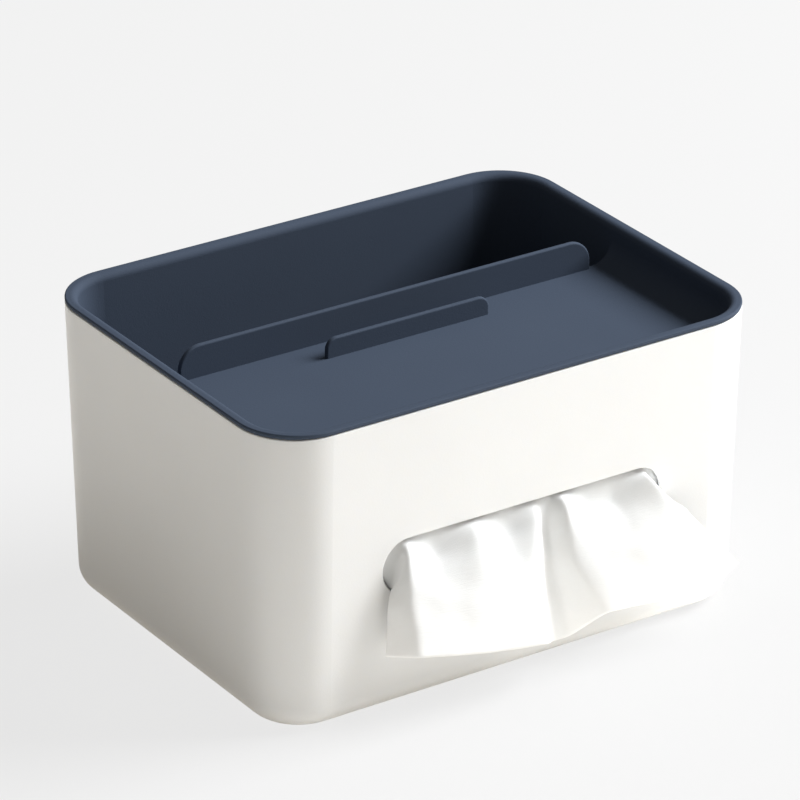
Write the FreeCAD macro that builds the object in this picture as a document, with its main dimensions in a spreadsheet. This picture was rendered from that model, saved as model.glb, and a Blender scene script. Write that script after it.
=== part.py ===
import FreeCAD, Part
import math
import os

import Sketcher

# Desk tissue box with a lift-out organiser tray, in millimetres.
# Origin: centre of the footprint, on the surface that the box stands on.
# +X runs along the long front, +Y towards the rear pocket, +Z up.

DIMENSIONS = {
    # tub, its outline measured at the top edge
    "box_length": 212.0,
    "box_depth": 160.6,
    "body_height": 117.4,
    "corner_radius": 24.0,
    "wall": 2.2,
    "wall_draft": 1.35,
    "bottom_radius": 10.0,
    "seat_edge_round": 0.4,
    # slot in the front wall, its middle measured from the underside
    "slot_length": 121.0,
    "slot_width": 22.0,
    "slot_rise": 57.2,
    "slot_edge_round": 0.6,
    # anti-slip pads, pressed flush into recesses under the tub
    "foot_radius": 8.0,
    "foot_recess": 1.0,
    "foot_clearance": 0.2,
    "foot_inset": 34.0,
    "foot_edge_round": 0.4,
    # tray rim and the walls that nest in the tub
    "rim_thickness": 2.0,
    "rim_edge_round": 0.6,
    "rim_lower_round": 1.1,
    "rim_inner_round": 2.8,
    "nest_clearance": 0.6,
    "tray_wall": 2.0,
    # shallow front basin, and deep rear pocket held clear of the tub's floor
    "basin_depth": 15.0,
    "basin_radius": 9.0,
    "pocket_opening": 64.6,
    "pocket_floor_gap": 26.2,
    "pocket_radius": 6.0,
    # divider between them, and the rib that stops a leaning phone
    "divider_thickness": 2.0,
    "divider_drop": 2.4,
    "divider_end_gap": 11.2,
    "divider_corner": 9.0,
    "rib_length": 71.0,
    "rib_thickness": 2.0,
    "rib_height": 7.7,
    "rib_corner": 4.5,
    "phone_gap": 10.7,
    "plate_edge_round": 0.7,
    # interfolded paper standing in the front chamber
    "stack_side_gap": 13.0,
    "stack_front_gap": 10.0,
    "stack_rear_gap": 5.0,
    "stack_top_gap": 5.0,
    "stack_corner": 3.0,
    # leading sheet, from the front of the stack through the slot to its hanging hem
    "sheet_thickness": 0.6,
    "sheet_clearance": 0.4,
    "sheet_slack": 0.4,
    "sheet_side_inset": 6.0,
    "sheet_floor_gap": 4.0,
    "sheet_slot_gap": 4.0,
    "sheet_head_room": 5.6,
    "sheet_fall_radius": 8.0,
    "sheet_fall_angle": 80.0,
    "sheet_drop": 27.0,
    "sheet_hem_width": 150.0,
    "sheet_hem_shift": 12.0,
    "sheet_hem_fold": 4.0,
}

# Each fold's share of the sheet's width, from the left edge: valleys and crests in turn
FOLD_SHARES = [0.08, 0.34, 0.19, 0.31, 0.08]
# Deepest fold as a share of its own width, which keeps its arc under a half circle
FOLD_LIMIT = 0.45
# Share of the sheet's fanning out and drift, from slot to hem, done where it stops bending
FAN_AT_BEND = 0.4
# Largest part of a wall's height that a fillet takes up
FILLET_LIMIT = 0.9
# Room left around the edges and faces that are picked by place
PICK_ROOM = 0.01

# Levels, insets and places, worked out from the driving dimensions
SEAT_Z = "dims.body_height"
RIM_TOP_Z = f"({SEAT_Z} + dims.rim_thickness)"
FLOOR_Z = "dims.wall"
SLOT_Z = "dims.slot_rise"
LIP_Z = f"({SLOT_Z} - dims.slot_width / 2)"
BASIN_Z = f"({RIM_TOP_Z} - dims.basin_depth)"
POCKET_Z = f"({FLOOR_Z} + dims.pocket_floor_gap + dims.tray_wall)"
NEST_INSET = "(dims.wall + dims.nest_clearance)"
INNER_INSET = f"({NEST_INSET} + dims.tray_wall)"
DIVIDER_BACK_Y = f"(dims.box_depth / 2 - {INNER_INSET} - dims.pocket_opening)"
DIVIDER_FRONT_Y = f"({DIVIDER_BACK_Y} - dims.divider_thickness)"
RIB_BACK_Y = f"({DIVIDER_FRONT_Y} - dims.phone_gap)"
FOOT_X = "(dims.box_length / 2 - dims.foot_inset)"
FOOT_Y = "(dims.box_depth / 2 - dims.foot_inset)"
FOOT_SIDES = {
    "front_left": (-1, -1),
    "front_right": (1, -1),
    "rear_left": (-1, 1),
    "rear_right": (1, 1),
}


def drawn_in(level):
    """How far the drafted walls have come in at a level below the tub's top edge."""
    return f"(({SEAT_Z} - {level}) * tan(dims.wall_draft))"


STACK_HALF_LENGTH = f"(dims.box_length / 2 - dims.wall - {drawn_in(FLOOR_Z)} - dims.stack_side_gap)"
STACK_FRONT_Y = f"(dims.wall + {drawn_in(FLOOR_Z)} + dims.stack_front_gap - dims.box_depth / 2)"
STACK_REAR_Y = f"({DIVIDER_FRONT_Y} - dims.stack_rear_gap)"
STACK_TOP_Z = f"({BASIN_Z} - dims.tray_wall - dims.stack_top_gap)"

doc = FreeCAD.newDocument("tissue_box")
sheet = doc.addObject("Spreadsheet::Sheet", "dims")
for row, (alias, value) in enumerate(DIMENSIONS.items(), start=1):
    sheet.set(f"A{row}", alias)
    sheet.set(f"B{row}", str(value))
    sheet.setAlias(f"B{row}", alias)
doc.recompute()


def number(expression):
    """Value of an expression over the sheet's cells."""
    return float(sheet.evalExpression(expression))


def vector(x, y, z=0.0):
    return FreeCAD.Vector(x, y, z)


def new_body(name):
    body = doc.addObject("PartDesign::Body", name)
    body.Label = name
    return body


def new_sketch(body, role, name, offset, across="0", along="0"):
    """Sketch on one of the body's origin planes, moved off the plane by offset and within it."""
    plane = next(item for item in body.Origin.OriginFeatures if item.Role == role)
    sketch = body.newObject("Sketcher::SketchObject", name)
    sketch.AttachmentSupport = [(plane, "")]
    sketch.MapMode = "FlatFace"
    for axis, place in zip("xyz", (across, along, offset)):
        sketch.setExpression(f"AttachmentOffset.Base.{axis}", place)
    return sketch


def drive(sketch, name, expression, *constraint):
    """Add a named size to the sketch and bind it to the sheet."""
    index = sketch.addConstraint(Sketcher.Constraint(*constraint, number(expression)))
    sketch.renameConstraint(index, name)
    sketch.setExpression(f"Constraints.{name}", expression)


def add_line(sketch, start, end):
    sketch.addGeometry(Part.LineSegment(vector(*start), vector(*end)))


def add_arc(sketch, centre, radius, start, turn):
    """Arc about a point, from a start angle and over a turn, both in degrees."""
    circle = Part.Circle(vector(*centre), vector(0, 0, 1), radius)
    sketch.addGeometry(Part.ArcOfCircle(circle, math.radians(start), math.radians(start + turn)))


def join(sketch, kind, pairs):
    """Join the end of each first curve to the start of the second."""
    for first, second in pairs:
        sketch.addConstraint(Sketcher.Constraint(kind, first, 2, second, 1))


def hold(sketch, kind, curves):
    for curve in curves:
        sketch.addConstraint(Sketcher.Constraint(kind, curve))


def draw_rounded_rectangle(sketch, length, depth, radius):
    """Rounded rectangle about the sketch's origin."""
    a, b, r = number(length) / 2, number(depth) / 2, number(radius)
    add_line(sketch, (-a + r, -b), (a - r, -b))
    add_arc(sketch, (a - r, -b + r), r, 270, 90)
    add_line(sketch, (a, -b + r), (a, b - r))
    add_arc(sketch, (a - r, b - r), r, 0, 90)
    add_line(sketch, (a - r, b), (-a + r, b))
    add_arc(sketch, (-a + r, b - r), r, 90, 90)
    add_line(sketch, (-a, b - r), (-a, -b + r))
    add_arc(sketch, (-a + r, -b + r), r, 180, 90)
    join(sketch, "Tangent", [(curve, (curve + 1) % 8) for curve in range(8)])
    hold(sketch, "Horizontal", (0, 4))
    hold(sketch, "Vertical", (2, 6))
    for arc in (1, 3, 5):
        sketch.addConstraint(Sketcher.Constraint("Equal", arc, arc + 2))
    sketch.addConstraint(Sketcher.Constraint("Symmetric", 1, 3, 5, 3, -1, 1))
    drive(sketch, "length", length, "DistanceX", 6, 1, 2, 1)
    drive(sketch, "depth", depth, "DistanceY", 0, 1, 4, 1)
    drive(sketch, "radius", radius, "Radius", 1)


def draw_stadium(sketch, length, width, centre_height):
    """Slot outline with half-round ends, centred on the sketch's vertical axis."""
    r, level = number(width) / 2, number(centre_height)
    a = number(length) / 2 - r
    add_line(sketch, (-a, level - r), (a, level - r))
    add_arc(sketch, (a, level), r, -90, 180)
    add_line(sketch, (a, level + r), (-a, level + r))
    add_arc(sketch, (-a, level), r, 90, 180)
    join(sketch, "Tangent", [(curve, (curve + 1) % 4) for curve in range(4)])
    hold(sketch, "Horizontal", (0,))
    sketch.addConstraint(Sketcher.Constraint("Symmetric", 3, 3, 1, 3, -2))
    drive(sketch, "radius", f"{width} / 2", "Radius", 1)
    drive(sketch, "spread", f"{length} - {width}", "DistanceX", 3, 3, 1, 3)
    drive(sketch, "level", centre_height, "DistanceY", -1, 1, 1, 3)


def draw_plate(sketch, length, base, top, corner):
    """Upright plate standing on a level base, with its two top corners rounded."""
    a, low, high, r = number(length) / 2, number(base), number(top), number(corner)
    add_line(sketch, (-a, low), (a, low))
    add_line(sketch, (a, low), (a, high - r))
    add_arc(sketch, (a - r, high - r), r, 0, 90)
    add_line(sketch, (a - r, high), (-a + r, high))
    add_arc(sketch, (-a + r, high - r), r, 90, 90)
    add_line(sketch, (-a, high - r), (-a, low))
    join(sketch, "Coincident", [(5, 0), (0, 1)])
    join(sketch, "Tangent", [(1, 2), (2, 3), (3, 4), (4, 5)])
    hold(sketch, "Horizontal", (3,))
    hold(sketch, "Vertical", (1, 5))
    sketch.addConstraint(Sketcher.Constraint("Symmetric", 0, 1, 0, 2, -2))
    drive(sketch, "length", length, "DistanceX", 0, 1, 0, 2)
    drive(sketch, "base", base, "DistanceY", -1, 1, 0, 1)
    drive(sketch, "top", top, "DistanceY", -1, 1, 3, 1)
    drive(sketch, "corner", corner, "Radius", 2)


def draw_half_plane(sketch, edge, side, reach_x, reach_y):
    """Rectangle with one long side on the line y = edge, reaching to its rear (+1) or front (-1)."""
    a, near = number(reach_x), number(edge)
    far = near + side * number(reach_y)
    points = [(-a, near), (a, near), (a, far), (-a, far)]
    for start in range(4):
        add_line(sketch, points[start], points[(start + 1) % 4])
    join(sketch, "Coincident", [(line, (line + 1) % 4) for line in range(4)])
    hold(sketch, "Horizontal", (2,))
    hold(sketch, "Vertical", (1, 3))
    sketch.addConstraint(Sketcher.Constraint("Symmetric", 0, 1, 0, 2, -2))
    drive(sketch, "length", f"2 * {reach_x}", "DistanceX", 0, 1, 0, 2)
    drive(sketch, "near", edge, "DistanceY", -1, 1, 0, 1)
    drive(sketch, "far", f"{edge} + {side} * {reach_y}", "DistanceY", -1, 1, 2, 1)


def draw_circle(sketch, radius):
    """Circle about the sketch's origin."""
    sketch.addGeometry(Part.Circle(vector(0, 0), vector(0, 0, 1), number(radius)))
    sketch.addConstraint(Sketcher.Constraint("Coincident", 0, 3, -1, 1))
    drive(sketch, "radius", radius, "Radius", 0)


def level_face(feature, level):
    """Name of the feature's flat face at a level."""
    z = number(level)
    for index, face in enumerate(feature.Shape.Faces, start=1):
        if face.BoundBox.ZLength < PICK_ROOM and abs(face.BoundBox.ZMin - z) < PICK_ROOM:
            return f"Face{index}"
    raise RuntimeError(f"{feature.Name} has no flat face at z = {z}")


def edge_names(feature, wanted):
    """Names of the feature's edges for which wanted(edge) is true."""
    edges = enumerate(feature.Shape.Edges, start=1)
    return [f"Edge{index}" for index, edge in edges if wanted(edge)]


def rim_names(feature, level, outer):
    """Names of the edges around a flat face: its outer loop, or the loops inside it."""
    face = feature.Shape.getElement(level_face(feature, level))
    loop = face.OuterWire.Edges
    on_loop = edge_names(feature, lambda edge: any(edge.isSame(item) for item in loop))
    on_face = edge_names(feature, lambda edge: any(edge.isSame(item) for item in face.Edges))
    return on_loop if outer else [name for name in on_face if name not in on_loop]


def add_fillet(body, name, feature, names, radius):
    fillet = body.newObject("PartDesign::Fillet", name)
    fillet.Base = (feature, names)
    fillet.setExpression("Radius", radius)
    doc.recompute()
    return fillet


def add_pad(body, name, sketch, length, downward=False, draft=None):
    """Pad from the sketch's plane, drawn in by the draft angle where one is given."""
    pad = body.newObject("PartDesign::Pad", name)
    pad.Profile = sketch
    pad.Reversed = downward
    pad.setExpression("Length", length)
    if draft:
        pad.setExpression("TaperAngle", f"-{draft}")
    doc.recompute()
    return pad


def add_pocket(body, name, sketch, length, reverse=False):
    """Pocket that has to remove material, so that one facing the wrong way is noticed."""
    before = body.Shape.Volume
    pocket = body.newObject("PartDesign::Pocket", name)
    pocket.Profile = sketch
    pocket.Reversed = reverse
    pocket.setExpression("Length", length)
    doc.recompute()
    if before - pocket.Shape.Volume < PICK_ROOM:
        raise RuntimeError(f"{name} cut nothing")
    return pocket


def add_boolean(body, name, kind, tools):
    boolean = body.newObject("PartDesign::Boolean", name)
    boolean.Type = kind
    boolean.setObjects(tools)
    doc.recompute()
    return boolean


def drafted_block(name, inset, top, bottom, floor_radius, edge=None, kept_side=0):
    """Block inside the tub's outline, drawn in downwards and rounded below.

    With a kept side it is cut along y = edge, and only its front (-1) or rear (+1) stays.
    """
    body = new_body(name)
    height = f"({top} - {bottom})"
    outline = new_sketch(body, "XY_Plane", f"{name}_outline", top)
    draw_rounded_rectangle(
        outline,
        f"dims.box_length - 2 * {inset}",
        f"dims.box_depth - 2 * {inset}",
        f"dims.corner_radius - {inset}",
    )
    pad = add_pad(body, f"{name}_block", outline, height, downward=True, draft="dims.wall_draft")
    radius = f"min({floor_radius}; {FILLET_LIMIT} * {height})"
    add_fillet(body, f"{name}_floor_round", pad, [level_face(pad, bottom)], radius)
    if kept_side:
        trim = new_sketch(body, "XY_Plane", f"{name}_trim", top)
        draw_half_plane(trim, edge, -kept_side, "dims.box_length", "dims.box_depth")
        add_pocket(body, f"{name}_cut", trim, f"2 * {height}")
    return body


def foot_sketch(body, name, place, radius):
    """Circle on the underside, near one corner of the tub."""
    side_x, side_y = FOOT_SIDES[place]
    sketch = new_sketch(body, "XY_Plane", name, "0", f"{side_x} * {FOOT_X}", f"{side_y} * {FOOT_Y}")
    draw_circle(sketch, radius)
    return sketch


def make_outer_box():
    """White tub: drafted shell with a stadium slot in front and four recesses underneath."""
    inner_round = "dims.bottom_radius - dims.wall"
    body = drafted_block("outer_box", "0", SEAT_Z, "0", "dims.bottom_radius")
    hollow = drafted_block("tub_void", "dims.wall", SEAT_Z, FLOOR_Z, inner_round)
    add_boolean(body, "tub_hollow", "Cut", [hollow])

    outline = new_sketch(body, "XZ_Plane", "slot_outline", "0")
    draw_stadium(outline, "dims.slot_length", "dims.slot_width", SLOT_Z)
    slot = add_pocket(body, "slot_cut", outline, "dims.box_depth", reverse=True)
    reach = number("dims.slot_length / 2") + PICK_ROOM
    low = number(LIP_Z) - PICK_ROOM
    high = number(f"{LIP_Z} + dims.slot_width") + PICK_ROOM
    around_slot = FreeCAD.BoundBox(-reach, -number("dims.box_depth"), low, reach, 0, high)

    def runs_round_slot(edge):
        box = edge.BoundBox
        return around_slot.isInside(box) and box.YLength < max(box.XLength, box.ZLength)

    slot_rims = edge_names(slot, runs_round_slot)
    rounded = add_fillet(body, "slot_edge_rounds", slot, slot_rims, "dims.slot_edge_round")
    top_rim = rim_names(rounded, SEAT_Z, outer=True)
    add_fillet(body, "seat_edge_round", rounded, top_rim, "dims.seat_edge_round")

    for place in FOOT_SIDES:
        radius = "dims.foot_radius + dims.foot_clearance"
        recess = foot_sketch(body, f"recess_outline_{place}", place, radius)
        add_pocket(body, f"recess_{place}", recess, "dims.foot_recess", reverse=True)
    return body


def make_foot_pad(place):
    """Anti-slip pad in its recess, flush with the underside as the box's weight presses it."""
    body = new_body(f"foot_pad_{place}")
    outline = foot_sketch(body, f"pad_outline_{place}", place, "dims.foot_radius")
    disc = add_pad(body, f"pad_disc_{place}", outline, "dims.foot_recess")
    lower_rim = rim_names(disc, "0", outer=True)
    add_fillet(body, f"pad_edge_round_{place}", disc, lower_rim, "dims.foot_edge_round")
    return body


def add_plate(body, name, length, top, back):
    """Thin upright plate rooted in the basin's floor, with softened edges."""
    thickness = f"dims.{name}_thickness"
    corner = f"min(dims.{name}_corner; {FILLET_LIMIT} * ({top} - {BASIN_Z}))"
    profile = new_sketch(body, "XZ_Plane", f"{name}_profile", f"-{back}")
    draw_plate(profile, length, f"{BASIN_Z} - dims.tray_wall / 2", top, corner)
    plate = add_pad(body, name, profile, thickness)
    reach = number(f"{length} / 2") + PICK_ROOM
    front = number(f"{back} - {thickness}") - PICK_ROOM
    rear = number(back) + PICK_ROOM
    low = number(BASIN_Z) + PICK_ROOM
    high = number(top) + PICK_ROOM
    around_plate = FreeCAD.BoundBox(-reach, front, low, reach, rear, high)

    def on_front_or_rear(edge):
        return around_plate.isInside(edge.BoundBox) and edge.BoundBox.YLength < PICK_ROOM

    plate_rims = edge_names(plate, on_front_or_rear)
    add_fillet(body, f"{name}_edge_rounds", plate, plate_rims, "dims.plate_edge_round")


def make_top_tray():
    """Dark tray: rim, shallow basin and deep pocket in one moulding, with divider and phone rib."""
    basin_round = f"min(dims.basin_radius; {FILLET_LIMIT} * dims.basin_depth - dims.rim_inner_round)"
    basin_under = f"({BASIN_Z} - dims.tray_wall)"
    pocket_under = f"({POCKET_Z} - dims.tray_wall)"
    under_round = f"{basin_round} + dims.tray_wall"
    pocket_round = "dims.pocket_radius + dims.tray_wall"
    skins = [
        drafted_block("basin_skin", NEST_INSET, SEAT_Z, basin_under, under_round, DIVIDER_FRONT_Y, -1),
        drafted_block("pocket_skin", NEST_INSET, SEAT_Z, pocket_under, pocket_round, DIVIDER_FRONT_Y, 1),
    ]
    voids = [
        drafted_block("basin_void", INNER_INSET, RIM_TOP_Z, BASIN_Z, basin_round, DIVIDER_BACK_Y, -1),
        drafted_block("pocket_void", INNER_INSET, RIM_TOP_Z, POCKET_Z, "dims.pocket_radius",
                      DIVIDER_BACK_Y, 1),
    ]

    body = new_body("top_tray")
    outline = new_sketch(body, "XY_Plane", "rim_outline", SEAT_Z)
    draw_rounded_rectangle(outline, "dims.box_length", "dims.box_depth", "dims.corner_radius")
    add_pad(body, "rim", outline, "dims.rim_thickness")
    add_boolean(body, "tray_skin", "Fuse", skins)
    tray = add_boolean(body, "tray_hollow", "Cut", voids)
    for name, level, outer in (
        ("rim_inner_round", RIM_TOP_Z, False),
        ("rim_edge_round", RIM_TOP_Z, True),
        ("rim_lower_round", SEAT_Z, True),
    ):
        tray = add_fillet(body, name, tray, rim_names(tray, level, outer), f"dims.{name}")

    divider_length = f"(dims.box_length - 2 * ({INNER_INSET} + dims.divider_end_gap))"
    add_plate(body, "divider", divider_length, f"({RIM_TOP_Z} - dims.divider_drop)", DIVIDER_BACK_Y)
    add_plate(body, "rib", "dims.rib_length", f"({BASIN_Z} + dims.rib_height)", RIB_BACK_Y)
    return body


def make_tissue_stack():
    """Interfolded pack standing on the tub's floor, its leaves upright and facing the slot."""
    body = new_body("tissue_stack")
    height = f"({STACK_TOP_Z} - {FLOOR_Z})"
    middle = f"{FLOOR_Z} + {height} / 2"
    leaf = new_sketch(body, "XZ_Plane", "leaf_outline", f"-{STACK_REAR_Y}", along=middle)
    draw_rounded_rectangle(leaf, f"2 * {STACK_HALF_LENGTH}", height, "dims.stack_corner")
    pack = add_pad(body, "leaves", leaf, f"{STACK_REAR_Y} - {STACK_FRONT_Y}")
    outer_rims = edge_names(pack, lambda edge: edge.BoundBox.YLength < PICK_ROOM)
    add_fillet(body, "pack_edge_rounds", pack, outer_rims, "dims.stack_corner / 2")
    return body


def fold_section(centre, across, normal, depth):
    """Closed outline across the sheet: valleys and crests as arcs, with a face to each side.

    The vector across spans the sheet's width, and the folds swing along the normal.
    """
    half = number("dims.sheet_thickness / 2")
    shares = [sum(FOLD_SHARES[:count]) / sum(FOLD_SHARES) for count in range(len(FOLD_SHARES) + 1)]
    upper, lower = [], []
    for index, (left, right) in enumerate(zip(shares, shares[1:])):
        swing = min(depth, FOLD_LIMIT * (right - left) * across.Length)
        if index % 2 == 0:
            swing = -swing
        start = centre + across * (left - 0.5)
        middle = centre + across * ((left + right) / 2 - 0.5) + normal * swing
        end = centre + across * (right - 0.5)
        upper.append([point + normal * half for point in (start, middle, end)])
        lower.append([point - normal * half for point in (end, middle, start)])
    lower.reverse()
    edges = [Part.Arc(*arc).toShape() for arc in upper]
    edges.append(Part.LineSegment(upper[-1][-1], lower[0][0]).toShape())
    edges += [Part.Arc(*arc).toShape() for arc in lower]
    edges.append(Part.LineSegment(lower[-1][-1], upper[0][0]).toShape())
    return Part.Wire(edges)


def make_pulled_tissue():
    """Leading sheet: up the front of the stack, forward over the slot's lip, then down to its hem.

    Seen from the side its middle line is a straight leaf, a quarter arc forward, a level run through
    the wall, an arc downwards and a straight drop. In front of the wall it drifts to +X and fans out,
    and its folds open. A ruled loft joins folded sections set across it.
    """
    half = number("dims.sheet_thickness / 2")
    clear = number("dims.sheet_clearance")
    slack = number("dims.sheet_slack")
    depth = (number("dims.slot_width - dims.sheet_head_room") - clear) / 2 - half
    level = number(LIP_Z) + clear + half + depth
    leaf_y = number(STACK_FRONT_Y) - clear - half - slack
    wall_y = number(f"{drawn_in(LIP_Z)} - dims.box_depth / 2")
    rise = leaf_y - wall_y - number("dims.wall") - clear
    fall = number("dims.sheet_fall_radius")
    bend = math.radians(number("dims.sheet_fall_angle"))
    drop = number("dims.sheet_drop")
    shift = number("dims.sheet_hem_shift")
    hem_fold = number("dims.sheet_hem_fold")
    leaf_width = 2 * number(f"{STACK_HALF_LENGTH} - dims.sheet_side_inset")
    slot_width = number("dims.slot_length - 2 * dims.sheet_slot_gap")
    fan = number("dims.sheet_hem_width") - slot_width

    # Each station: its middle point, lean of the normal from +Y, width, fold depth
    foot = vector(0, leaf_y, number(f"{FLOOR_Z} + dims.sheet_floor_gap"))
    stations = [(foot, 0.0, leaf_width, slack)]
    for share in (0.0, 0.5, 1.0):
        lean = share * math.pi / 2
        y = leaf_y - rise * (1 - math.cos(lean))
        z = level - rise * (1 - math.sin(lean))
        width = slot_width + (leaf_width - slot_width) * (1 - share) / 2
        stations.append((vector(0, y, z), lean, width, slack + (depth - slack) * share))
    for share in (0.0, 0.25, 0.5, 0.75, 1.0):
        y = wall_y - fall * math.sin(share * bend)
        z = level - fall * (1 - math.cos(share * bend))
        fanned = FAN_AT_BEND * share
        fold = depth + (hem_fold - depth) * share
        middle = vector(shift * fanned, y, z)
        stations.append((middle, math.pi / 2 + share * bend, slot_width + fan * fanned, fold))
    for share in (0.5, 1.0):
        fanned = FAN_AT_BEND + (1 - FAN_AT_BEND) * share
        below = vector(shift * fanned, y - drop * share * math.cos(bend), z - drop * share * math.sin(bend))
        stations.append((below, math.pi / 2 + bend, slot_width + fan * fanned, hem_fold))

    sections = []
    for middle, lean, width, fold in stations:
        normal = vector(0, math.cos(lean), math.sin(lean))
        sections.append(fold_section(middle, vector(width, 0), normal, fold))
    tissue = doc.addObject("Part::Feature", "pulled_tissue")
    tissue.Shape = Part.makeLoft(sections, True, True)
    tissue.Label = "pulled_tissue"
    return tissue


parts = [make_outer_box(), make_top_tray()]
parts += [make_foot_pad(place) for place in FOOT_SIDES]
parts += [make_tissue_stack(), make_pulled_tissue()]
doc.recompute()

for item in doc.Objects:
    if "Invalid" in item.State or "Error" in item.State:
        raise RuntimeError(f"{item.Name} failed: {item.State}")
for part in parts:
    if part.Shape.isNull() or not part.Shape.isValid():
        raise RuntimeError(f"{part.Label} has no valid shape")

os.makedirs("parts", exist_ok=True)
for part in parts:
    part.Shape.exportStep(f"parts/{part.Label}.step")
    box = part.Shape.optimalBoundingBox()
    print(f"{part.Label}: {part.Shape.Volume:.0f} mm3, {len(part.Shape.Solids)} solid")
    print(f"  x {box.XMin:.2f} to {box.XMax:.2f}, y {box.YMin:.2f} to {box.YMax:.2f},"
          f" z {box.ZMin:.2f} to {box.ZMax:.2f}")
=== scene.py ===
# %% [markdown]
# # A desk box for paper tissues
# The imported CAD model is the fixed frame of this scene: the white tub, the dark lift-out tray and
# the four foot pads stay exactly as they were constructed. Blender adds what a solid model can't
# show: finishes, light and soft paper.

# %% Load the frame
import math

import bpy
import numpy as np
from mathutils import Matrix, Vector


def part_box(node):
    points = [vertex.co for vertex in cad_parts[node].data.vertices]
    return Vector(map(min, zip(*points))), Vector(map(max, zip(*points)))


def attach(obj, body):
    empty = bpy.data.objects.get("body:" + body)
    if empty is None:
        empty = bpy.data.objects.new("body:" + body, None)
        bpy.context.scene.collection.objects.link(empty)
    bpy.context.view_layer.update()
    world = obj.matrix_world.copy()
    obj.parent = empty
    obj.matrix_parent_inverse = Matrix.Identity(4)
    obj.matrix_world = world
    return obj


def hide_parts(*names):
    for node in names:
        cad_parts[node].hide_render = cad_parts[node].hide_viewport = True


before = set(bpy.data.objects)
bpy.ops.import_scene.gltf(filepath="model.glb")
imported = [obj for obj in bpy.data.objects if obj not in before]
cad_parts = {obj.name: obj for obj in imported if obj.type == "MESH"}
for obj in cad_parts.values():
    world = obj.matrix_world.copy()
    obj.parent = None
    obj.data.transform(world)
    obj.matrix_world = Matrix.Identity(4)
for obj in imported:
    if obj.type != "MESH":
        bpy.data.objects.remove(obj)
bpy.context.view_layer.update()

MM = 0.001

# %% [markdown]
# ## Camera
# The picture was taken from the front left with a long lens, so the box hardly narrows towards the
# back. A camera can be aimed with a Track To constraint, or its matrix can be put together from a
# turn about the upright axis, a tilt and a slight roll. The matrix is used here, because a roll of
# a seventh of a degree is then one number.

# %% The camera at the picture's angle
CAMERA_PLACE = Vector((-0.96582, -1.45243, 0.91845))
CAMERA_AZIMUTH, CAMERA_ELEVATION, CAMERA_ROLL = -33.588, 25.749, 0.145
CAMERA_LENS, CAMERA_SENSOR = 236.967, 36.0


def turned(degrees, axis):
    """A turn by so many degrees about one axis."""
    return Matrix.Rotation(math.radians(degrees), 4, axis)


lens = bpy.data.cameras.new("picture_camera")
lens.lens, lens.sensor_width, lens.sensor_fit = CAMERA_LENS, CAMERA_SENSOR, "HORIZONTAL"
camera = bpy.data.objects.new("picture_camera", lens)
bpy.context.scene.collection.objects.link(camera)
camera.matrix_world = (Matrix.Translation(CAMERA_PLACE) @ turned(CAMERA_AZIMUTH, "Z")
                       @ turned(90 - CAMERA_ELEVATION, "X") @ turned(CAMERA_ROLL, "Z"))
bpy.context.scene.camera = camera
print("camera stands", round(CAMERA_PLACE.length, 3), "m from the middle of the base")

# %% [markdown]
# ## Meshes from arrays
# Every new surface below is a grid: a function turns two parameters into points, all at once as
# numpy arrays. Blender can build a grid with operators, but an array goes into a mesh in one call
# and stays easy to reason about. The helper also lays a UV map over the grid where it is given one,
# so that a finish can follow the paper through its folds.

# %% A grid of points becomes a mesh object
def grid_object(name, points, uv=None, closed=False):
    """points[i, j] is row i, column j. Neighbours in the grid share a four-sided face; closed joins
    the last column to the first and puts a face on both ends. uv[i, j] is each point's place on the
    flat sheet, in metres."""
    rows, columns = points.shape[:2]
    index = np.arange(rows * columns).reshape(rows, columns)
    right = np.roll(index, -1, axis=1) if closed else index[:, 1:]
    left = index if closed else index[:, :-1]
    faces = np.stack([left[:-1], right[:-1], right[1:], left[1:]], axis=-1).reshape(-1, 4)
    ends = [index[0, ::-1].tolist(), index[-1].tolist()] if closed else []
    mesh = bpy.data.meshes.new(name)
    mesh.from_pydata(points.reshape(-1, 3), [], faces.tolist() + ends)
    mesh.polygons.foreach_set("use_smooth", np.ones(len(mesh.polygons), bool))
    if uv is not None:
        layer = mesh.uv_layers.new(name="flat_sheet")
        corners = uv.reshape(-1, 2)[faces.ravel()]
        layer.data.foreach_set("uv", corners.astype(np.float32).ravel())
    mesh.update()
    made = bpy.data.objects.new(name, mesh)
    bpy.context.scene.collection.objects.link(made)
    print(name, "has", len(mesh.vertices), "points and", len(mesh.polygons), "faces")
    return made


# %% [markdown]
# ## Nodes in one call
# A finish in Blender is a tree of small nodes. Each could be made, set and linked in lines of its
# own, but the same few steps would come back for every finish. So helpers take them up: one adds a
# node and feeds its inputs, two more blend colours and carry numbers from one span to another.

# %% Helpers for node trees
def feed(tree, node, **sources):
    """Feeds a node's inputs. An input is called by its name, with _ for a blank, or by its number,
    as in _6. A socket is linked to it, anything else becomes its plain value."""
    for key, source in sources.items():
        socket = node.inputs[int(key[1:]) if key[0] == "_" else key.replace("_", " ")]
        if isinstance(source, bpy.types.NodeSocket):
            tree.links.new(source, socket)
        else:
            socket.default_value = source


def new_node(tree, kind, settings=(), **sources):
    """Adds a node of a kind, sets its properties and feeds its inputs."""
    node = tree.nodes.new(kind)
    for key, value in dict(settings).items():
        setattr(node, key, value)
    feed(tree, node, **sources)
    return node


def blended(tree, share, first, second):
    """A colour that goes from the first to the second as the share goes from 0 to 1. A Mix node has
    sockets for each type of data: inputs 6 and 7 and output 2 are those for colours."""
    mix = new_node(tree, "ShaderNodeMix", {"data_type": "RGBA"}, _0=share, _6=first, _7=second)
    return mix.outputs[2]


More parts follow.
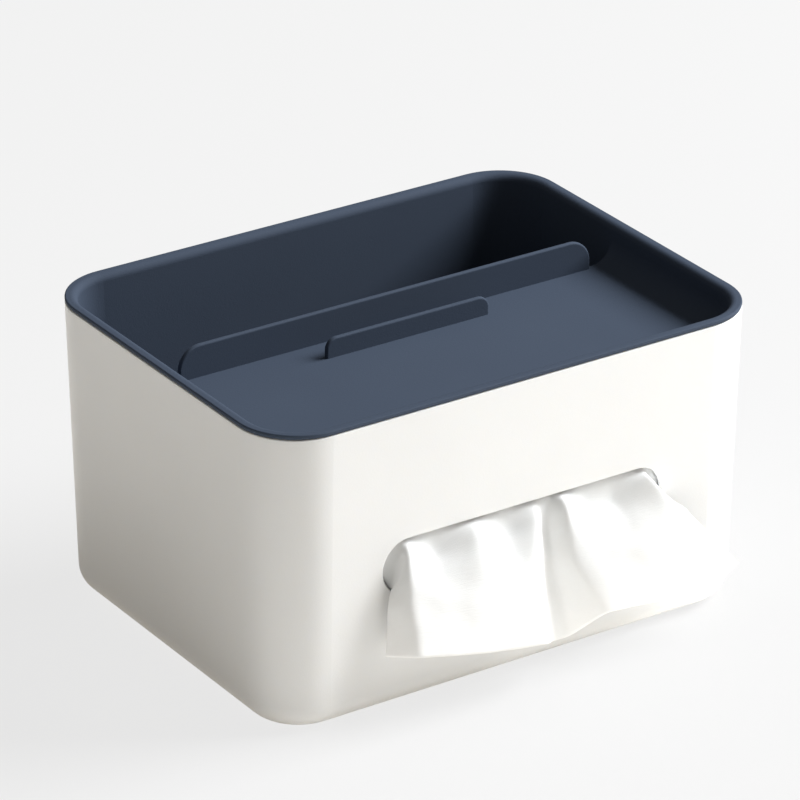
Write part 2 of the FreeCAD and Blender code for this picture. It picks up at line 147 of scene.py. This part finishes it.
def carried(tree, value, span, out_of=(0, 1)):
    """A number carried over from one span to another in proportion, and held at its ends."""
    node = new_node(tree, "ShaderNodeMapRange", Value=value, From_Min=out_of[0],
                    From_Max=out_of[1], To_Min=span[0], To_Max=span[1])
    return node.outputs[0]


def camera_ray(tree):
    """1 where the camera looks straight at a surface, 0 where light that bounces about meets it."""
    return tree.nodes.new("ShaderNodeLightPath").outputs["Is Camera Ray"]


def new_finish(name):
    """A new material, with its node tree and the shader in it."""
    finish = bpy.data.materials.new(name)
    finish.use_nodes = True
    return finish, finish.node_tree, finish.node_tree.nodes["Principled BSDF"]


# %% [markdown]
# ## Floor and light
# The box was photographed on white, in soft light from the right front and above: the long front
# is nearly white, the left side a soft grey, and the rim throws a shadow into the right end of the
# basin. One broad area light stands in for the softbox and a pale world fills the shadows. The
# floor glows a little, as a table lit from below does. A Light Path node lets floor and world throw
# warm light on the box and yet look pale and even to the camera.

# %% A pale floor
FLOOR_HALF, FLOOR_LINES = 4.0, 9
FLOOR_DROP = 0.0002
FLOOR_ROUGHNESS = 0.8
FLOOR_TONE, FLOOR_TONE_SEEN = (0.9, 0.88, 0.84, 1), (0.08, 0.08, 0.08, 1)
FLOOR_TINT, WHITE = (1.0, 0.93, 0.82, 1), (1, 1, 1, 1)
FLOOR_GLOW, FLOOR_GLOW_SEEN = 0.24, 0.76

ruled = np.linspace(-FLOOR_HALF, FLOOR_HALF, FLOOR_LINES)
across, along = np.meshgrid(ruled, ruled)
floor = grid_object("floor", np.stack([across, along, np.full_like(across, -FLOOR_DROP)], axis=-1))
floor_finish, floor_tree, floor_shader = new_finish("pale_floor")
seen = camera_ray(floor_tree)
feed(floor_tree, floor_shader, Roughness=FLOOR_ROUGHNESS,
     Base_Color=blended(floor_tree, seen, FLOOR_TONE, FLOOR_TONE_SEEN),
     Emission_Color=blended(floor_tree, seen, FLOOR_TINT, WHITE),
     Emission_Strength=carried(floor_tree, seen, (FLOOR_GLOW, FLOOR_GLOW_SEEN)))
floor.data.materials.append(floor_finish)

# %% Soft light
AIM = Vector((0.0, 0.0, 0.06))
WORLD_COLOUR = (1.0, 0.96, 0.9, 1)
WORLD_STRENGTH, WORLD_STRENGTH_SEEN = 0.2, 0.79


def softbox(name, azimuth, elevation, distance, size, power, colour):
    """A square area light that looks at the box from an azimuth and elevation in degrees, which are
    counted as the camera's are."""
    light = bpy.data.lights.new(name, "AREA")
    light.size, light.energy, light.color = size, power, colour
    lamp = bpy.data.objects.new(name, light)
    bpy.context.scene.collection.objects.link(lamp)
    a, e = math.radians(azimuth), math.radians(elevation)
    away = Vector((math.sin(a) * math.cos(e), -math.cos(a) * math.cos(e), math.sin(e)))
    place = AIM + away * distance
    turn = away.to_track_quat("Z", "Y").to_matrix().to_4x4()
    lamp.matrix_world = Matrix.Translation(place) @ turn
    print(name, "at", [round(c, 2) for c in place], "m,", power, "W")


softbox("key_softbox", azimuth=73, elevation=40, distance=2.2, size=1.2, power=100,
        colour=(0.98, 0.99, 1.0))
world = bpy.data.worlds.new("pale_studio")
world.use_nodes = True
world_tree = world.node_tree
seen = camera_ray(world_tree)
feed(world_tree, world_tree.nodes["Background"],
     Color=blended(world_tree, seen, WORLD_COLOUR, WHITE),
     Strength=carried(world_tree, seen, (WORLD_STRENGTH, WORLD_STRENGTH_SEEN)))
bpy.context.scene.world = world
bpy.context.scene.view_settings.view_transform = "Standard"

# %% [markdown]
# ## Moulded grain
# Both mouldings came out of a spark-textured tool: a fine even grain takes the mirror out of the
# plastic, and the melt leaves very slow changes of tone. Two noises give that, one of a fraction of
# a millimetre and one of several centimetres. They sit in one node group, because the tub, the tray
# and the pads use the same effect at different sizes.

# %% A node group for moulded grain
FLOAT, VECTOR = "NodeSocketFloat", "NodeSocketVector"
CLOUD_IN_GLOSS = 0.35


def new_group(name, wanted, given):
    """A shader node group whose inputs and outputs are listed as name: socket type, with the two
    nodes that stand for them inside it."""
    group = bpy.data.node_groups.new(name, "ShaderNodeTree")
    for way, sockets in (("INPUT", wanted), ("OUTPUT", given)):
        for label, kind in sockets.items():
            group.interface.new_socket(label, in_out=way, socket_type=kind)
    return group, group.nodes.new("NodeGroupInput"), group.nodes.new("NodeGroupOutput")


def noise(tree, place, scale, detail, roughness, distortion=0.0):
    """A cloudy number from 0 to 1 that repeats its lumps about scale times per metre."""
    return new_node(tree, "ShaderNodeTexNoise", Vector=place, Scale=scale, Detail=detail,
                    Roughness=roughness, Distortion=distortion).outputs[0]


moulded_grain, inlet, outlet = new_group(
    "moulded_grain",
    wanted={"Place": VECTOR, "Grains per metre": FLOAT, "Clouds per metre": FLOAT},
    given={"Grain": FLOAT, "Cloud": FLOAT, "Gloss": FLOAT})
place = inlet.outputs["Place"]
grain = noise(moulded_grain, place, inlet.outputs["Grains per metre"], detail=3.0, roughness=0.6)
cloud = noise(moulded_grain, place, inlet.outputs["Clouds per metre"], detail=2.0, roughness=0.5)
gloss = new_node(moulded_grain, "ShaderNodeMix", {"data_type": "FLOAT"}, Factor=CLOUD_IN_GLOSS,
                 A=grain, B=cloud).outputs[0]
feed(moulded_grain, outlet, Grain=grain, Cloud=cloud, Gloss=gloss)
print("moulded_grain puts out",
      [s.name for s in moulded_grain.interface.items_tree if s.in_out == "OUTPUT"])

# %% [markdown]
# ## The two plastics and the rubber
# The tub is a satin white, the tray a matt slate blue. A single colour would look like paper
# cut-outs, so the cloud moves the colour a little, and the grain moves the roughness and the bump.
# The white plastic also scatters light a few millimetres under its skin, so it gets a subsurface
# share, which softens its edges. The rubber pads use the same group with coarser grain, because
# their tool was stippled.

# %% Finishes for the CAD pieces
NOISE_SPAN = (0.3, 0.7)
PAPER_NODES = ("tissue_stack", "pulled_tissue")


def textured_finish(name, coordinate, group, sizes, drives, tones, roughness, relief, depth,
                    **surface):
    """A finish around a node group. drives names three of the group's outputs: the first blends the
    two tones, the second spreads the roughness over its span, and the third is the height of a bump
    of a strength, relief, and a depth in metres. surface sets further inputs of the shader."""
    finish, tree, shader = new_finish(name)
    place = tree.nodes.new("ShaderNodeTexCoord").outputs[coordinate]
    effect = new_node(tree, "ShaderNodeGroup", {"node_tree": group}, Place=place, **sizes)
    tone, spread, height = (effect.outputs[label] for label in drives)
    bump = new_node(tree, "ShaderNodeBump", Strength=relief, Distance=depth, Height=height)
    feed(tree, shader, Base_Color=blended(tree, tone, *tones),
         Roughness=carried(tree, spread, roughness, NOISE_SPAN), Normal=bump.outputs[0], **surface)
    return finish


MOULDED = {"coordinate": "Object", "group": moulded_grain, "drives": ("Cloud", "Gloss", "Grain")}
white_plastic = textured_finish(
    "satin_white_moulding", **MOULDED, sizes={"Grains_per_metre": 1400, "Clouds_per_metre": 26},
    tones=((0.787, 0.790, 0.790, 1), (0.757, 0.760, 0.760, 1)), roughness=(0.36, 0.50),
    relief=0.25, depth=0.00012, Specular_IOR_Level=0.42, Subsurface_Weight=0.35,
    Subsurface_Radius=(0.0030, 0.0027, 0.0023), Subsurface_Scale=1.0)
navy_plastic = textured_finish(
    "matt_slate_blue_moulding", **MOULDED, sizes={"Grains_per_metre": 1700, "Clouds_per_metre": 22},
    tones=((0.041, 0.056, 0.086, 1), (0.047, 0.064, 0.096, 1)), roughness=(0.72, 0.88),
    relief=0.35, depth=0.00015, Specular_IOR_Level=0.18)
pad_rubber = textured_finish(
    "stippled_pad_rubber", **MOULDED, sizes={"Grains_per_metre": 900, "Clouds_per_metre": 60},
    tones=((0.26, 0.26, 0.265, 1), (0.33, 0.33, 0.34, 1)), roughness=(0.72, 0.9),
    relief=0.5, depth=0.0002, Specular_IOR_Level=0.3)

moulding_finish = {"outer_box": white_plastic, "top_tray": navy_plastic}
for node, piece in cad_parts.items():
    if node not in PAPER_NODES:
        finish = moulding_finish.get(node, pad_rubber)
        piece.material_slots[0].material = finish
        print(node, "is finished in", finish.name)

# %% [markdown]
# ## Tissue paper
# Facial tissue is creped: the dry sheet is scraped off a drum, which leaves tiny ridges across the
# roll. Seen close, it is matt and cloudy, with fibres clumping into lighter spots. The ridges are a
# noise drawn out along one direction of the flat sheet, so they follow each fold; the clumps shift
# the colour and roughness.

# %% A node group for creped paper
RIDGE_DRAWN_OUT = (0.16, 1.0, 1.0)
CLUMPS_PER_METRE = 420.0

creped_fibre, inlet, outlet = new_group(
    "creped_fibre", wanted={"Place": VECTOR, "Ridges per metre": FLOAT},
    given={"Ridge": FLOAT, "Clump": FLOAT})
place = inlet.outputs["Place"]
drawn_out = new_node(creped_fibre, "ShaderNodeVectorMath", {"operation": "MULTIPLY"}, _0=place,
                     _1=RIDGE_DRAWN_OUT).outputs[0]
ridge = noise(creped_fibre, drawn_out, inlet.outputs["Ridges per metre"], detail=2.0,
              roughness=0.55, distortion=0.4)
clump = noise(creped_fibre, place, CLUMPS_PER_METRE, detail=4.0, roughness=0.65)
feed(creped_fibre, outlet, Ridge=ridge, Clump=clump)

CREPED = {
    "group": creped_fibre, "sizes": {"Ridges_per_metre": 1500},
    "drives": ("Clump", "Clump", "Ridge"),
    "tones": ((0.93, 0.93, 0.925, 1), (0.97, 0.97, 0.965, 1)), "roughness": (0.95, 0.8),
    "relief": 0.35, "depth": 0.0002, "Specular_IOR_Level": 0.15, "Subsurface_Weight": 0.5,
    "Subsurface_Radius": (0.0022, 0.002, 0.0019), "Subsurface_Scale": 1.0}
sheet_paper = textured_finish("creped_sheet", "UV", **CREPED)
pack_paper = textured_finish("creped_pack", "Object", **CREPED)
print("paper finishes:", sheet_paper.name, pack_paper.name)

# %% [markdown]
# ## The pack of tissues
# The pack stands on edge behind the slot: some sixty folded leaves, front to back. It could be
# sixty thin boxes, but then nothing would hold them together. One closed surface is lighter: the
# leaf's rounded outline is carried from front to back, pulled in a little between two leaves and
# shifted a little for each, as hand-packed paper is.

# %% The outline of a leaf
PACK_CORNER = 2.4 * MM
EDGE_STEPS, CORNER_STEPS = 40, 6


def leaf_outline(half_width, half_height, corner):
    """A rectangle with round corners, as two arrays: four quarter circles, with straight edges
    drawn between them by spacing points evenly from the end of one to the start of the next."""
    turn = np.linspace(0, np.pi / 2, CORNER_STEPS)
    quarter = np.arange(4)[:, None] * np.pi / 2 + turn[None, :]
    middle_x = np.array([1, -1, -1, 1])[:, None] * (half_width - corner)
    middle_z = np.array([1, 1, -1, -1])[:, None] * (half_height - corner)
    arcs = np.stack([middle_x + corner * np.cos(quarter), middle_z + corner * np.sin(quarter)],
                    axis=-1)
    share = np.linspace(0, 1, EDGE_STEPS + 2)[1:-1, None]
    edges = arcs[:, None, -1] * (1 - share) + np.roll(arcs, -1, axis=0)[:, None, 0] * share
    loop = np.concatenate([arcs, edges], axis=1).reshape(-1, 2)
    return loop[:, 0], loop[:, 1]


pack_low, pack_high = (np.array(c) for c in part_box("tissue_stack"))
pack_size, pack_middle = pack_high - pack_low, (pack_low + pack_high) / 2
outline_x, outline_z = leaf_outline(pack_size[0] / 2, pack_size[2] / 2, PACK_CORNER)
print("a leaf's outline has", outline_x.size, "points")

# %% The outline's walk through the pack
PACK_LEAVES = 62
PACK_GROOVE = 0.55 * MM
PACK_UNEVEN = 0.45 * MM
PACK_WAVE, WAVE_TURN, WAVE_START = 1.1 * MM, 7.0, 0.6
RING_SHARE = np.array([0.03, 0.25, 0.75, 0.97])
CAP_SHARE = np.array([0.02, 0.25, 0.5, 0.75, 0.94])
SHIFT_HASH, DROP_HASH = (12.9898, 4.1, 43758.5453), (78.233, 1.7, 12543.1234)


def hashed(leaf, pitch, start, gain):
    """A number between -1 and 1 that jumps from leaf to leaf: what follows the point in a sine that
    is made very large."""
    return np.modf(np.sin(leaf * pitch + start) * gain)[0]


def pack_of_leaves():
    """Rings of the leaf outline from front to back. Each leaf has four rings: two deep in the gaps,
    two at its edge. A hashed sine gives each leaf its own small shift, slow sines bow the leaves,
    and the first and last rings shrink towards the middle, where a small face closes them."""
    leaf, caps = np.arange(PACK_LEAVES), CAP_SHARE.size
    depth = (leaf[:, None] + RING_SHARE).ravel() / PACK_LEAVES
    inset = np.tile([PACK_GROOVE, 0, 0, PACK_GROOVE], PACK_LEAVES) + PACK_UNEVEN
    shift = np.repeat(hashed(leaf, *SHIFT_HASH), RING_SHARE.size) * PACK_UNEVEN
    drop = np.repeat(np.abs(hashed(leaf, *DROP_HASH)), RING_SHARE.size) * PACK_UNEVEN
    scale = np.concatenate([CAP_SHARE, np.ones(inset.size), CAP_SHARE[::-1]])[:, None]
    depth = np.concatenate([np.zeros(caps), depth, np.ones(caps)])[:, None]
    inset, shift, drop = (np.pad(value, caps, mode="edge")[:, None]
                          for value in (inset, shift, drop))
    x = scale * outline_x * (1 - 2 * inset / pack_size[0]) + shift
    z = scale * outline_z * (1 - 2 * inset / pack_size[2]) - drop
    bow = PACK_WAVE * np.sin(np.pi * depth) * np.sin(x / pack_size[0] * WAVE_TURN + WAVE_START)
    sag = PACK_UNEVEN * (1 - (2 * x / pack_size[0]) ** 2) * np.clip(2 * z / pack_size[2], 0, 1)
    y = pack_low[1] + depth * pack_size[1] + bow * (0.5 + z / pack_size[2])
    y = np.clip(y, pack_low[1], pack_high[1])
    return np.stack([pack_middle[0] + x, y, pack_middle[2] + z - sag], axis=-1)


tissue_pack = grid_object("tissue_pack", pack_of_leaves()[:, ::-1], closed=True)
tissue_pack.data.materials.append(pack_paper)
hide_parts("tissue_stack")
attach(tissue_pack, "box")

# %% [markdown]
# ## The leading sheet
# The front leaf has its foot at the pack, leans forward until it stands close behind the slot, is
# gathered through it and falls in front of the tub in two broad panels with a valley between them;
# its left edge is folded back. A cloth simulation would settle into folds of its own choosing, so
# the folds are drawn instead: each control row gives the line of the paper at one station, from the
# leaf's foot to the hem, and a smooth spline carries every point of the sheet from row to row. Each
# row lies further forward than the one before, so the sheet can't cross itself.

# %% Rows of folds, from the slot to the hem, in mm
SHEET_COLUMNS, SHEET_ROWS = 220, 150
MARGIN, SAMPLES_PER_COLUMN = 0.1, 3
FOLD_SOFTNESS, HEM_SOFTNESS = 0.012, 0.011
FOLD_SHARE = [0.00, 0.08, 0.185, 0.29, 0.36, 0.42, 0.475, 0.53, 0.62, 0.70, 0.79, 0.92, 1.00]
HEM_SHARE = [0.00, 0.08, 0.247, 0.345, 0.42, 0.475, 0.53, 0.62, 0.779, 0.92, 1.00]
SHOULDER_SHARE, SHOULDER_RISE = 0.64, np.array([0, 0.2, 3.4])
across_share = np.linspace(0, 1, SHEET_COLUMNS)


def fold_line(softness, share, x, y, z):
    """One line of the paper across its width: straight runs between the named shares of the width,
    rounded at the folds by a bell-shaped average over the neighbouring points. The ends are carried
    on straight by a margin before averaging."""
    wide = np.linspace(-MARGIN, 1 + MARGIN, SAMPLES_PER_COLUMN * SHEET_COLUMNS)
    bell = np.exp(-0.5 * ((across_share[:, None] - wide[None, :]) / softness) ** 2)
    bell /= bell.sum(axis=1, keepdims=True)
    ends = [-MARGIN, *share, 1 + MARGIN]
    line = []
    for value in (x, y, z):
        first = value[0] - (value[1] - value[0]) / (share[1] - share[0]) * MARGIN
        last = value[-1] + (value[-1] - value[-2]) / (share[-1] - share[-2]) * MARGIN
        line.append(bell @ np.interp(wide, ends, [first, *value, last]))
    return np.stack(line, axis=-1)


inside = fold_line(
    FOLD_SOFTNESS, FOLD_SHARE,
    x=[-57.2, -52.5, -39.0, -22.0, -8.5, 4.0, 8.0, 11.0, 16.0, 27.0, 39.0, 53.5, 57.5],
    y=[-76.4, -76.6, -76.2, -76.4, -76.2, -76.4, -76.2, -76.2, -76.4, -76.2, -76.2, -76.6, -76.3],
    z=[48.9, 66.6, 66.8, 66.8, 66.8, 66.8, 66.6, 66.6, 66.8, 66.8, 66.8, 66.6, 52.0])
brow = fold_line(
    FOLD_SOFTNESS, FOLD_SHARE,
    x=[-56.2, -52.5, -39.0, -22.5, -9.0, 4.5, 8.0, 10.5, 15.5, 26.5, 39.0, 53.4, 57.4],
    y=[-80.0, -82.8, -77.4, -82.6, -77.4, -82.0, -77.6, -77.8, -82.6, -77.4, -77.2, -82.4, -80.6],
    z=[50.6, 66.5, 58.5, 66.0, 58.5, 64.0, 58.5, 59.0, 66.4, 59.0, 58.0, 66.0, 55.0])
middle = fold_line(
    FOLD_SOFTNESS, FOLD_SHARE,
    x=[-60.5, -55.0, -42.0, -24.0, -10.5, 0.0, 7.0, 10.5, 16.5, 29.5, 43.0, 62.0, 71.0],
    y=[-82.0, -88.5, -88.8, -89.6, -89.2, -88.5, -81.2, -81.0, -87.0, -87.8, -88.4, -89.0, -87.5],
    z=[46.0, 48.5, 47.0, 46.5, 46.0, 45.5, 41.0, 40.5, 43.5, 43.8, 44.1, 44.5, 44.5])
hem = fold_line(
    HEM_SOFTNESS, HEM_SHARE,
    x=[-62.5, -55.0, -28.0, -12.0, 1.2, 10.5, 18.2, 29.0, 52.5, 76.0, 87.5],
    y=[-83.5, -93.5, -94.5, -94.5, -93.5, -82.2, -82.4, -90.5, -92.0, -92.5, -91.5],
    z=[26.5, 28.1, 22.5, 19.5, 17.5, 10.4, 10.4, 20.7, 19.0, 19.0, 24.5])
shoulder = (1 - SHOULDER_SHARE) * brow + SHOULDER_SHARE * middle + SHOULDER_RISE
lower = (middle + hem) / 2
print("the hem reaches from x", hem[0, 0].round(1), "to", hem[-1, 0].round(1), "mm")

# %% Rows of the front leaf, from its foot to the slot, in mm
LEAF_Y = -65.9
LEAF_HALF_WIDTH = 82.0
KNEE_LEAN, KNEE_Z, KNEE_NARROWING = 6.0, 36.0, 0.15
CROWN_Y, CROWN_LEAN, CROWN_Z, CROWN_LIFT, CROWN_NARROWING = -74.6, 0.7, 68.0, 5.0, 0.6
SIDE_POWER = 4
leaf_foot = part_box("pulled_tissue")[0][2] / MM
leaf_x = LEAF_HALF_WIDTH * (2 * across_share - 1)
near_side = (2 * across_share - 1) ** SIDE_POWER


def leaf_row(y, z, narrowing):
    """A line across the front leaf, with y and z the same all along or given for each point. Its
    width narrows towards the slot's by a share."""
    x = leaf_x * (1 - narrowing) + inside[:, 0] * narrowing
    return np.stack([x, np.broadcast_to(y, x.shape), np.broadcast_to(z, x.shape)], axis=-1)


foot = leaf_row(LEAF_Y, leaf_foot, 0.0)
knee = leaf_row(LEAF_Y - KNEE_LEAN * near_side, KNEE_Z, KNEE_NARROWING)
crown = leaf_row(CROWN_Y - CROWN_LEAN * near_side, CROWN_Z + CROWN_LIFT * near_side,
                 CROWN_NARROWING)
control_rows = np.stack([foot, knee, crown, inside, brow, shoulder, middle, lower, hem])
print("the sheet is drawn from", len(control_rows), "rows of", SHEET_COLUMNS, "points")

# %% A spline carries the rows into a sheet
def spline_weights(share, count, degree=2):
    """How strongly each of count rows pulls at each share of the way. The lowest degree is one or
    nothing between two knots; each higher degree is a sliding blend of two neighbours of the degree
    below."""
    knots = np.concatenate([np.zeros(degree), np.linspace(0, 1, count - degree + 1),
                            np.ones(degree)])
    at = np.clip(share, 0, 1 - 1e-9)[:, None]
    weight = ((knots[:-1] <= at) & (at < knots[1:])).astype(float)
    for step in range(1, degree + 1):
        span = knots[step:] - knots[:-step]
        rise = np.divide(at - knots[:-step], span, out=np.zeros((at.size, span.size)),
                         where=span > 0)
        weight = rise[:, :-1] * weight[:, :-1] + (1 - rise[:, 1:]) * weight[:, 1:]
    return weight


def steps_along(points, axis):
    """Distance walked along the grid from its first line to each later one."""
    stride = np.linalg.norm(np.diff(points, axis=axis), axis=-1)
    start = np.zeros_like(np.take(stride, [0], axis))
    return np.concatenate([start, np.cumsum(stride, axis)], axis)


down_share = np.linspace(0, 1, SHEET_ROWS)
weights = spline_weights(down_share, len(control_rows))
drawn = np.einsum("rk,kcd->rcd", weights, control_rows)
sheet_width = steps_along(drawn, 1)[:, -1].mean()
sheet_length = steps_along(drawn, 0)[-1].mean()
print("sheet cut:", round(sheet_width, 1), "x", round(sheet_length, 1), "mm")

# %% Small creases, thickness and what the sheet hangs on
CREASE_HEIGHT = 0.25
PAPER_THICKNESS = 0.25 * MM
LOOSE_FROM, LOOSE_OVER = 0.45, 0.3
RIPPLES = ((1.0, (23, 9, 0.7), (-6, 11, 1.9)),
           (0.6, (41, -14, 2.4), (8, 17, 0.0)),
           (0.35, (67, 31, 0.0), (-13, 29, 0.5)))


def creases(across, down):
    """Faint handling marks: three slow ripples that cross each other at a slant, each a strength
    times two sines. A sine's numbers are its turn across, its turn down and its start."""
    def wave(turn_across, turn_down, start):
        return np.sin(turn_across * across + turn_down * down + start)
    return sum(strength * wave(*first) * wave(*second) for strength, first, second in RIPPLES)


u, v = np.meshgrid(across_share, down_share)
normal = np.cross(np.gradient(drawn, axis=1), np.gradient(drawn, axis=0))
normal /= np.linalg.norm(normal, axis=-1, keepdims=True)
loose = np.clip((v - LOOSE_FROM) / LOOSE_OVER, 0, 1)
sheet_points = drawn + CREASE_HEIGHT * (creases(u, v) * loose)[..., None] * normal
flat_uv = np.stack([u * sheet_width, v * sheet_length], axis=-1) * MM
leading_sheet = grid_object("leading_sheet", sheet_points * MM, flat_uv)
leading_sheet.data.materials.append(sheet_paper)
paper = leading_sheet.modifiers.new("paper", "SOLIDIFY")
paper.thickness, paper.offset = PAPER_THICKNESS, 0.0
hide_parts("pulled_tissue")
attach(leading_sheet, "box")
